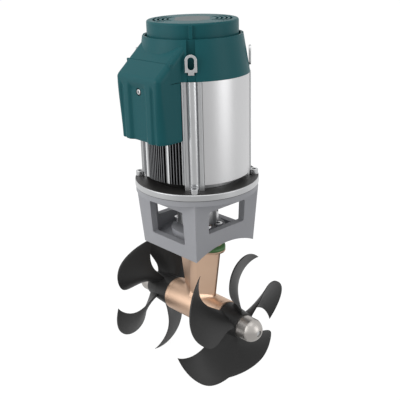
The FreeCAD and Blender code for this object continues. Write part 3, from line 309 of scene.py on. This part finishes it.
# Bright stainless cap screws hold the motor to the bracket, and the gearleg under the bracket's floor.
bolt_steel = surface("stainless_bolt", "b4b5b6", "c8c9ca", 0.26, 0.6, 0.01, metallic=1.0)
broken_edges("flange_bolts", "flange_cap_screws", 0.5, bolt_steel)
dress(["gearleg_bolts", "right_drive_pin", "left_drive_pin", "right_prop_nut", "left_prop_nut",
       "right_anode_screw", "left_anode_screw"], bolt_steel)


# ---------------------------------------------------------------- motor body
# One aluminium extrusion: four round columns, and fins that show under the terminal cover.
# The die leaves fine lines along it. Under the cover the colour holds painted shade and a painted highlight:
# the narrow channels between the fins are near-black, the thin fin tips grey and the two thick ribs
# near-white.
FIN_FIELD_HALF = 43.0
THICK_RIB_X = 22.0
THICK_RIB_HALF = 3.7
CHANNEL_SHADE_R = 79.0          # painted shade below this distance from the motor's axis
FIN_TIP_R = 80.6          # and the painted tip tone above this one
extrusion = surface("extruded_aluminium", "b9babb", "c9cacb", 0.34, 0.7, 0.02, metallic=1.0,
                    run=(1.0, 1.0, 0.01))
tree = extrusion.node_tree
shader = tree.nodes["Principled BSDF"]
where = add_node(tree, "ShaderNodeTexCoord")
flat = add_node(tree, "ShaderNodeVectorMath", {1: (1.0, 1.0, 0.0)}, {0: where.outputs["Object"]},
                operation="MULTIPLY")
radius = add_node(tree, "ShaderNodeVectorMath", links={0: flat.outputs[0]}, operation="LENGTH")
# painted shade: the channels between the fins go near-black, deeper in the channel where shade falls
painted_channel_shade = add_node(tree, "ShaderNodeMapRange", {"From Min": CHANNEL_SHADE_R * MM, "From Max": FIN_TIP_R * MM},
                   {"Value": radius.outputs["Value"]})
split = add_node(tree, "ShaderNodeSeparateXYZ", links={0: where.outputs["Object"]})
aside = add_node(tree, "ShaderNodeMath", links={0: split.outputs["X"]}, operation="ABSOLUTE")
painted_fin_field = add_node(tree, "ShaderNodeMath", {1: FIN_FIELD_HALF * MM}, {0: aside.outputs[0]},
                      operation="LESS_THAN")
from_rib = add_node(tree, "ShaderNodeMath", {1: THICK_RIB_X * MM}, {0: aside.outputs[0]},
                    operation="SUBTRACT")
rib_side = add_node(tree, "ShaderNodeMath", links={0: from_rib.outputs[0]}, operation="ABSOLUTE")
# painted highlight: the two thick ribs are near-white, the thin fin tips grey
painted_highlight_rib = add_node(tree, "ShaderNodeMath", {1: THICK_RIB_HALF * MM}, {0: rib_side.outputs[0]},
               operation="LESS_THAN")
bare = shader.inputs["Base Color"].links[0].from_socket
tip_and_rib_highlight = add_node(tree, "ShaderNodeMix", {6: srgb("77787a"), 7: srgb("e2e3e4")}, {0: painted_highlight_rib.outputs[0]},
               data_type="RGBA")
painted_fin_light = add_node(tree, "ShaderNodeMix", {6: srgb("242424")},
                    {0: painted_channel_shade.outputs["Result"], 7: tip_and_rib_highlight.outputs[2]}, data_type="RGBA")
tone = add_node(tree, "ShaderNodeMix", links={0: painted_fin_field.outputs[0], 6: bare, 7: painted_fin_light.outputs[2]},
                data_type="RGBA")
tree.links.new(tone.outputs[2], shader.inputs["Base Color"])
broken_edges("motor_body", "finned_body", 0.3, extrusion)
aluminium = surface("turned_aluminium", "b9babb", "c9cacb", 0.34, 0.7, 0.01, metallic=1.0)
dress(["upper_end_shield", "coupling_upper", "coupling_lower", "capacitors"], aluminium)

# Three rolled stainless sheets cover the other fins. They are brushed round the motor.
stainless = surface("brushed_stainless", "bfbfc0", "cacacb", 0.40, 0.8, 0.008, metallic=1.0,
                    run=(0.02, 0.02, 1.0), patch=120.0)
for side in ("right", "rear", "left"):
    broken_edges(side + "_panel", side + "_rolled_panel", 0.25, stainless)


# ---------------------------------------------------------------- inside the motor
# Ground steel shafts and bearings, laminated cores, enamelled copper, plated magnets and a nylon fan.
ground_steel = surface("ground_steel", "b0b1b3", "c4c5c7", 0.28, 0.5, 0.006, metallic=1.0)
dress(["motor_shaft", "drive_shaft", "right_prop_shaft", "left_prop_shaft", "lower_motor_bearing",
       "upper_motor_bearing", "upper_leg_bearing", "lower_leg_bearing", "right_shaft_bearing",
       "left_shaft_bearing", "drive_pinion", "right_crown_gear", "left_crown_gear"],
      ground_steel)
lamination = surface("laminated_core", "7c7d80", "8f9092", 0.42, 0.5, 0.05, metallic=1.0,
                     run=(0.02, 0.02, 1.0))
dress(["rotor_core", "stator_core"], lamination)
copper = surface("enamelled_copper", "8a4322", "a8582e", 0.34, 1.2, 0.25, metallic=0.8, run=(0.1, 0.1, 1.0))
dress(["stator_windings"], copper)
magnet = surface("plated_magnet", "505054", "626266", 0.36, 0.8, 0.01, metallic=1.0)
dress(["rotor_magnets"], magnet)
nylon = surface("black_nylon", "18191a", "202122", 0.5, 0.8, 0.02)
dress(["fan_impeller"], nylon)
brass = surface("turned_brass", "b48e46", "c6a257", 0.3, 0.6, 0.01, metallic=1.0)
dress(["cover_post", "power_terminals"], brass)
laminate = surface("board_laminate", "174f2c", "1f6138", 0.4, 1.5, 0.02)
dress(["power_board"], laminate)
rubber = surface("black_rubber", "171717", "1f1f1f", 0.68, 0.9, 0.03)
dress(["cable_grommets", "coupling_spider", "drive_seal", "right_shaft_seal", "left_shaft_seal"],
      rubber)


# ---------------------------------------------------------------- cowl, cap, badge and lifting lugs
# Injection-moulded ABS in teal. The tool's spark-eroded skin gives a satin, slightly grained face.
teal = surface("teal_moulded_abs", "134f54", "16585e", 0.46, 1.0, 0.025, patch=90.0, specular=0.18)
broken_edges("fan_cowl", "moulded_cowl", 0.7, teal)
broken_edges("fan_cap", "moulded_cap", 0.6, teal)
badge_grey = surface("grey_badge", "4b5657", "566264", 0.45, 0.8, 0.01, specular=0.2)
dress(["badge_disc"], badge_grey)
lug_steel = surface("laser_cut_stainless", "b9babb", "c6c7c8", 0.36, 0.7, 0.01, metallic=1.0)
LUG_SHELF = 395.8         # the lugs go into the cowl here, and a moulded apron hides their feet
LUG_HIDDEN = 1.5          # the plates go on this far below the shelf, and the aprons stop just under it
APRON_TOP = LUG_SHELF - 1.6
APRON_LOW = 385.1
APRON_IN = 70.2
APRON_OUT = 80.6
APRON_HALF = 6.0
lugs = broken_edges("lifting_lugs", "lifting_lug_plates", 0.5, lug_steel)
bm = bmesh.new()
bm.from_mesh(lugs.data)
bmesh.ops.bisect_plane(bm, geom=bm.verts[:] + bm.edges[:] + bm.faces[:],
                       plane_co=(0, 0, (LUG_SHELF - LUG_HIDDEN) * MM), plane_no=(0, 0, 1), clear_inner=True)
bmesh.ops.holes_fill(bm, edges=[e for e in bm.edges if e.is_boundary])
bm.to_mesh(lugs.data)
bm.free()
bm = bmesh.new()
middle = Matrix.Translation(((APRON_IN + APRON_OUT) / 2 * MM, 0, (APRON_LOW + APRON_TOP) / 2 * MM))
size = Matrix.Diagonal(((APRON_OUT - APRON_IN) * MM, 2 * APRON_HALF * MM, (APRON_TOP - APRON_LOW) * MM, 1))
for quarter in range(4):
    turn = Matrix.Rotation(math.radians(45 + 90 * quarter), 4, "Z")
    bmesh.ops.create_cube(bm, size=1.0, matrix=turn @ middle @ size)
bmesh.ops.bevel(bm, geom=bm.edges[:], affect="EDGES", offset=0.5 * MM, segments=2, profile=0.5, material=-1)
new_piece("lug_aprons", bm, teal, "housing")


# ---------------------------------------------------------------- terminal cover
# Moulded box over the motor's terminals: two upright ribs beside a hollow front, a sloped top that
# runs on into the cowl, and one recessed screw. A floor plate carries the cable grommets.
COVER_HALF = 47.0
COVER_FRONT = 108.0
COVER_LOW = 302.0
COVER_WALL = 3.0
COVER_ROUND = 9.0         # rounding of the shoulder, and of the corners where they meet the cowl
FOOT_ROUND = 17.0         # rounding of the corners at the foot
SHOULDER = 392.0
SLOPE_RUN = 48.0
SLOPE_RISE = 41.0
SEAM_Y = 85.8             # the cover stops just short of the cowl, which leaves a thin dark seam
SEAM_Z = 384.2
SEAM_TUCK = 0.75          # above the motor the cover ends this far into the seam
BACK_R = 82.5
HOLLOW_HALF = 13.0        # flat middle of the hollow
HOLLOW_FLANK = 8.0
HOLLOW_DEPTH = 4.0
GROOVE_X = 33.0           # groove between a rib and the corner
GROOVE_HALF = 5.5
GROOVE_DEPTH = 2.6
FADE_LOW = 374.0          # the hollow and the grooves run out from here
FADE_HIGH = 386.0
LIP = 1.2                 # rounding of the cover's lower rim
LIP_DRAW = 0.6            # share of the rounding by which the rim draws in
SHOULDER_BLEND = 3.0      # the corners stretch along the slope over this much either side of the shoulder
FRONT_STEPS = 44          # points over half the front, over a corner and along a side
CORNER_STEPS = 18
SIDE_STEPS = 6


def eased(value):
    value = min(max(value, 0.0), 1.0)
    return value * value * (3 - 2 * value)


def hollow_at(x, z):
    """How far the cover's front lies behind its plane."""
    side = abs(x)
    depth = HOLLOW_DEPTH * (1 - eased((side - HOLLOW_HALF) / HOLLOW_FLANK))
    if abs(side - GROOVE_X) < GROOVE_HALF:
        depth += GROOVE_DEPTH * math.cos(math.pi / 2 * (side - GROOVE_X) / GROOVE_HALF) ** 2
    return depth * (1 - eased((z - FADE_LOW) / (FADE_HIGH - FADE_LOW)))


def front_at(z):
    """Distance of the cover's front from the motor's axis: upright, round the shoulder, then the slope."""
    turn = math.atan2(SLOPE_RUN, SLOPE_RISE)
    start = SHOULDER - COVER_ROUND * math.tan(turn / 2)
    if z <= start:
        return COVER_FRONT
    if z < start + COVER_ROUND * math.sin(turn):
        return COVER_FRONT - COVER_ROUND + math.sqrt(COVER_ROUND ** 2 - (z - start) ** 2)
    return COVER_FRONT - (z - SHOULDER) * SLOPE_RUN / SLOPE_RISE


def cover_outline(z):
    """Points round the cover at one height, from its back left edge round the front to its back right."""
    front = front_at(z)
    onto_slope = eased((z - SHOULDER + SHOULDER_BLEND) / (2 * SHOULDER_BLEND))
    stretch = 1 + (math.hypot(SLOPE_RUN, SLOPE_RISE) / SLOPE_RISE - 1) * onto_slope
    corner = FOOT_ROUND + (COVER_ROUND - FOOT_ROUND) * eased((z - COVER_LOW) / (SEAM_Z - COVER_LOW))
    deep = corner * stretch
    inset = LIP * (1 - eased((z - COVER_LOW) / LIP)) * LIP_DRAW
    back = SEAM_Y - SEAM_TUCK if z > SEAM_Z else math.sqrt(BACK_R ** 2 - COVER_HALF ** 2)
    turn_y = max(front - deep, back)
    right = []
    for i in range(FRONT_STEPS + 1):
        x = (COVER_HALF - corner) * i / FRONT_STEPS
        right.append((x, front - hollow_at(x, z) - inset))
    for i in range(1, CORNER_STEPS + 1):
        angle = math.pi / 2 * i / CORNER_STEPS
        x = COVER_HALF - corner + corner * math.sin(angle)
        y = front - deep + deep * math.cos(angle) - hollow_at(x, z)
        right.append((x - inset, max(y - inset, back)))
    for i in range(1, SIDE_STEPS + 1):
        right.append((COVER_HALF - inset, turn_y + (back - turn_y) * i / SIDE_STEPS))
    left = [(-x, y) for x, y in reversed(right[1:])]
    return [(x * MM, -y * MM, z * MM) for x, y in left + right]


# Rows of outlines from the rim to the crest, close together where the form turns.
SHOULDER_END = SEAM_Z + 11.0
crest = SHOULDER + (COVER_FRONT - SEAM_Y) * SLOPE_RISE / SLOPE_RUN
heights = [COVER_LOW + LIP * i / 3 for i in range(4)]
heights += [COVER_LOW + LIP + (FADE_LOW - COVER_LOW - LIP) * i / 16 for i in range(1, 17)]
heights += [FADE_LOW + (SEAM_Z - FADE_LOW) * i / 10 for i in range(1, 11)]
heights += [SEAM_Z + 0.05] + [SEAM_Z + (SHOULDER_END - SEAM_Z) * i / 13 for i in range(1, 14)]
heights += [SHOULDER_END + (crest - SHOULDER_END) * i / 5 for i in range(1, 6)]
outlines = [cover_outline(z) for z in heights]
bm = bmesh.new()
bmesh.ops.create_grid(bm, x_segments=len(outlines[0]) - 1, y_segments=len(heights) - 1, size=0.5)
bm.verts.ensure_lookup_table()
for i, vert in enumerate(bm.verts):
    row, place = divmod(i, len(outlines[0]))
    vert.co = outlines[row][place]
bmesh.ops.recalc_face_normals(bm, faces=bm.faces)
if sum((f.normal.y for f in bm.faces)) > 0:
    bmesh.ops.reverse_faces(bm, faces=bm.faces)
cover_skin = bpy.data.meshes.new("cover_skin")
bm.to_mesh(cover_skin)
bm.free()
skin = bpy.data.objects.new("cover_skin", cover_skin)
scene.collection.objects.link(skin)
wall = skin.modifiers.new("wall", "SOLIDIFY")
wall.thickness = COVER_WALL * MM
wall.offset = -1.0

SCREW_Z = 371.5
SCREW_HOLE_R = 5.4
GROMMET_X = (-25.0, 0.0, 25.0)
GROMMET_Y = 92.0
GROMMET_R = 7.6
face_y = COVER_FRONT - HOLLOW_DEPTH
cutters = []
for radius, depth, turn, place in (
        [(SCREW_HOLE_R, 12.0, Matrix.Rotation(math.pi / 2, 4, "X"), (0, -face_y, SCREW_Z))]
        + [(GROMMET_R, 12.0, Matrix.Identity(4), (x, -GROMMET_Y, COVER_LOW)) for x in GROMMET_X]):
    bm = bmesh.new()
    bmesh.ops.create_cone(bm, cap_ends=True, segments=40, radius1=radius * MM, radius2=radius * MM,
                          depth=depth * MM, matrix=Matrix.Translation([v * MM for v in place]) @ turn)
    mesh = bpy.data.meshes.new("cutter")
    bm.to_mesh(mesh)
    bm.free()
    cutters.append(bpy.data.objects.new("cutter", mesh))
    scene.collection.objects.link(cutters[-1])

bm = bmesh.new()
FLOOR_SHARE = 0.985       # the floor plate is this much of the outline, so it lies within the wall
BACK_STEPS = 12           # points over half the arc that follows the motor
rim = [bm.verts.new((x * FLOOR_SHARE, y * FLOOR_SHARE, z)) for x, y, z in cover_outline(COVER_LOW + LIP)]
for i in range(1, 2 * BACK_STEPS):
    angle = math.radians(-90) + math.asin(COVER_HALF / BACK_R) * (1 - i / BACK_STEPS)
    rim.append(bm.verts.new((BACK_R * MM * math.cos(angle), BACK_R * MM * math.sin(angle), rim[0].co.z)))
plate_face = bm.faces.new(rim)
raised = bmesh.ops.extrude_face_region(bm, geom=[plate_face])
bmesh.ops.translate(bm, verts=[v for v in raised["geom"] if isinstance(v, bmesh.types.BMVert)],
                    vec=(0, 0, (COVER_WALL - LIP) * MM))
bmesh.ops.recalc_face_normals(bm, faces=bm.faces)
plate_mesh = bpy.data.meshes.new("cover_floor")
bm.to_mesh(plate_mesh)
bm.free()
plate = bpy.data.objects.new("cover_floor", plate_mesh)
scene.collection.objects.link(plate)
for part, tools in ((skin, cutters[:1]), (plate, cutters[1:])):
    for tool in tools:
        cut = part.modifiers.new("hole", "BOOLEAN")
        cut.operation = "DIFFERENCE"
        cut.solver = "EXACT"
        cut.object = tool
bpy.context.view_layer.update()
graph = bpy.context.evaluated_depsgraph_get()
bm = bmesh.new()
for part in (skin, plate):
    shaped = bpy.data.meshes.new_from_object(part.evaluated_get(graph))
    bm.from_mesh(shaped)
for part in [skin, plate] + cutters:
    bpy.data.objects.remove(part)
new_piece("moulded_terminal_cover", bm, teal, "housing", ("terminal_cover",), 40.0)

# Its screw: a stainless cap screw sunk in the hole of the hollow. A black ring round its head fills the rest
# of the hole as a painted shadow.
SCREW_HEAD_R = 3.9
SCREW_HEAD_H = 3.2
SCREW_EDGE = 0.6
SCREW_SEAT_Y = 101.0
SOCKET_R = 1.9
SOCKET_DEPTH = 1.8
SHANK_R = 3.0
SHANK_LENGTH = 10.0
# the black ring is painted shadow: it fills the hole round the head, where shade falls
RING_R = 4.6
RING_HALF = 0.75
RING_LIFT = 0.8           # of the ring's middle above the seat
lying_down = Matrix.Rotation(math.pi / 2, 4, "X")
bm = bmesh.new()
head_place = Matrix.Translation((0, -(SCREW_SEAT_Y + SCREW_HEAD_H / 2) * MM, SCREW_Z * MM))
bmesh.ops.create_cone(bm, cap_ends=True, segments=36, radius1=SCREW_HEAD_R * MM, radius2=SCREW_HEAD_R * MM,
                      depth=SCREW_HEAD_H * MM, matrix=head_place @ lying_down)
front_face = min(bm.faces, key=lambda f: f.calc_center_median().y)
bmesh.ops.bevel(bm, geom=list(front_face.edges), affect="EDGES", offset=SCREW_EDGE * MM, segments=3,
                profile=0.5, material=-1)
front_face = min(bm.faces, key=lambda f: f.calc_center_median().y)
bmesh.ops.inset_region(bm, faces=[front_face], thickness=(SCREW_HEAD_R - SCREW_EDGE - SOCKET_R) * MM)
sunk = bmesh.ops.extrude_face_region(bm, geom=[front_face])
bmesh.ops.translate(bm, verts=[v for v in sunk["geom"] if isinstance(v, bmesh.types.BMVert)],
                    vec=(0, SOCKET_DEPTH * MM, 0))
bmesh.ops.delete(bm, geom=[front_face], context="FACES")
shank_place = Matrix.Translation((0, -(SCREW_SEAT_Y - SHANK_LENGTH / 2) * MM, SCREW_Z * MM))
bmesh.ops.create_cone(bm, cap_ends=True, segments=24, radius1=SHANK_R * MM, radius2=SHANK_R * MM,
                      depth=SHANK_LENGTH * MM, matrix=shank_place @ lying_down)
new_piece("cover_cap_screw", bm, bolt_steel, "housing", ("cover_screw",))
bm = bmesh.new()
bmesh.ops.create_circle(bm, segments=12, radius=RING_HALF * MM,
                        matrix=Matrix.Translation((RING_R * MM, 0, 0)) @ lying_down)
bmesh.ops.spin(bm, geom=bm.edges[:], cent=(0, 0, 0), axis=(0, 0, 1), angle=2 * math.pi, steps=40,
               use_merge=True)
ring_place = Matrix.Translation((0, -(SCREW_SEAT_Y + RING_LIFT) * MM, SCREW_Z * MM))
bmesh.ops.transform(bm, matrix=ring_place @ lying_down, verts=bm.verts)
bmesh.ops.remove_doubles(bm, verts=bm.verts, dist=1e-6)
bmesh.ops.recalc_face_normals(bm, faces=bm.faces)
# painted shadow in the screw hole, in the black rubber material
new_piece("cover_screw_shadow_ring", bm, rubber, "housing")


# ---------------------------------------------------------------- gearleg
# Sand-cast bronze, fine-blasted: a lens-shaped strut that flows into the torpedo with a fillet.
bronze = surface("cast_bronze", "c2a48d", "ceb19a", 0.43, 1.1, 0.03, metallic=1.0, patch=30.0)
broken_edges("gearleg_housing", "bronze_gearleg", 0.7, bronze, clamp=False)
for side in ("right", "left"):
    broken_edges(side + "_end_cap", side + "_bronze_end_cap", 0.5, bronze)

POD_R = 27.6
STRUT_HALF = 33.6         # half length of the strut just above the torpedo
STRUT_EDGE = 2.3
STRUT_CROWN_HALF = 8.0
STRUT_CROWN_T = 14.3
FILLET_R = 6.0
FILLET_STEPS = 6
FILLET_SINK = 0.15        # the fillet's upper edge lies this far inside the strut
FILLET_REST = 0.1         # and its lower edge this far inside the torpedo
AROUND = 96               # points round the strut
CORNERS = [(STRUT_HALF, -STRUT_EDGE), (STRUT_HALF, STRUT_EDGE), (STRUT_CROWN_HALF, STRUT_CROWN_T),
           (-STRUT_CROWN_HALF, STRUT_CROWN_T), (-STRUT_HALF, STRUT_EDGE), (-STRUT_HALF, -STRUT_EDGE),
           (-STRUT_CROWN_HALF, -STRUT_CROWN_T), (STRUT_CROWN_HALF, -STRUT_CROWN_T)]


def strut_point(share, grow):
    """Point of the strut's outline, moved out by grow, with the way out from it."""
    place = share * len(CORNERS)
    i = int(place) % len(CORNERS)
    here, there = Vector(CORNERS[i]), Vector(CORNERS[(i + 1) % len(CORNERS)])
    before, after = Vector(CORNERS[i - 1]), Vector(CORNERS[(i + 2) % len(CORNERS)])
    part = place - int(place)

    def way_out(a, b):
        along = (b - a).normalized()
        return Vector((along.y, -along.x))

    middle = way_out(here, there)
    start = (way_out(before, here) + middle).normalized()
    end = (middle + way_out(there, after)).normalized()
    out = start.lerp(end, part).normalized()
    return here.lerp(there, part) + out * grow


bm = bmesh.new()
bmesh.ops.create_circle(bm, segments=AROUND, radius=1.0)
bm.verts.ensure_lookup_table()
rings = [list(bm.verts)]
for step in range(FILLET_STEPS):
    edges = [e for e in bm.edges if all(v in set(rings[-1]) for v in e.verts)]
    grown = bmesh.ops.extrude_edge_only(bm, edges=edges)
    rings.append([v for v in grown["geom"] if isinstance(v, bmesh.types.BMVert)])
    bm.verts.ensure_lookup_table()
places = [(vert, math.atan2(vert.co.y, vert.co.x) / (2 * math.pi) % 1.0, step)
          for step, ring in enumerate(rings) for vert in ring]
for vert, share, step in places:
    angle = math.pi / 2 * step / FILLET_STEPS
    grow = FILLET_R * (1 - math.cos(angle))
    lift = FILLET_R * (1 - math.sin(angle))
    spot = strut_point(share, grow - FILLET_SINK)
    seat = math.sqrt(POD_R ** 2 - min(abs(spot.y), POD_R - 1) ** 2)
    vert.co = (spot.x * MM, spot.y * MM, (seat + lift - FILLET_REST) * MM)
bmesh.ops.recalc_face_normals(bm, faces=bm.faces)
if sum(f.normal.z for f in bm.faces) < 0:
    bmesh.ops.reverse_faces(bm, faces=bm.faces)
new_piece("strut_fillet", bm, bronze, "housing", (), 80.0)

# Moulded nitrile pad between the gearleg's foot and the tunnel: a thin lip under a crowned top.
gasket_green = surface("green_nitrile", "44713f", "527f4a", 0.5, 1.0, 0.03)
GASKET_X = 52.0
GASKET_Y = 30.0
GASKET_LOW = 113.0
SKIN_R = 124.9
bm = bmesh.new()
bmesh.ops.create_circle(bm, segments=96, radius=1.0)
STEPS = [
    # share of the pad's half sizes, and millimetres above its foot or None on the tunnel's skin
    (0.94, 0.05), (1.0, 0.6), (1.0, 3.6), (0.985, 5.0), (0.95, 6.6), (0.90, 8.0), (0.86, None), (0.42, None),
]
rings = [list(bm.verts)]
for step in STEPS[1:]:
    edges = [e for e in bm.edges if all(v in set(rings[-1]) for v in e.verts)]
    grown = bmesh.ops.extrude_edge_only(bm, edges=edges)
    rings.append([v for v in grown["geom"] if isinstance(v, bmesh.types.BMVert)])
for (share, rise), ring in zip(STEPS, rings):
    for vert in ring:
        x, y = vert.co.x * GASKET_X * share, vert.co.y * GASKET_Y * share
        top = math.sqrt(SKIN_R ** 2 - y ** 2)
        z = top if rise is None else min(GASKET_LOW + rise, top)
        vert.co = (x * MM, y * MM, z * MM)
bmesh.ops.recalc_face_normals(bm, faces=bm.faces)
if sum(f.normal.z for f in bm.faces) < 0:
    bmesh.ops.reverse_faces(bm, faces=bm.faces)
new_piece("moulded_gasket", bm, gasket_green, "housing", ("gearleg_gasket",), 50.0)


# ---------------------------------------------------------------- propellers and anodes
# Five-bladed propellers moulded in glass-filled nylon, dull black, and turned zinc anodes on their hubs.
composite = surface("glass_filled_nylon", "272727", "2e2e2e", 0.46, 0.9, 0.02, patch=25.0, specular=0.3)
dress(["right_propeller", "left_propeller"], composite)
zinc = surface("turned_zinc", "a5a19d", "b4b0ac", 0.40, 0.5, 0.02, metallic=1.0, run=(1.0, 0.03, 0.03))
dress(["right_anode", "left_anode"], zinc)


# ---------------------------------------------------------------- finish
# Colours are shown as they are.
scene.view_settings.view_transform = "Standard"
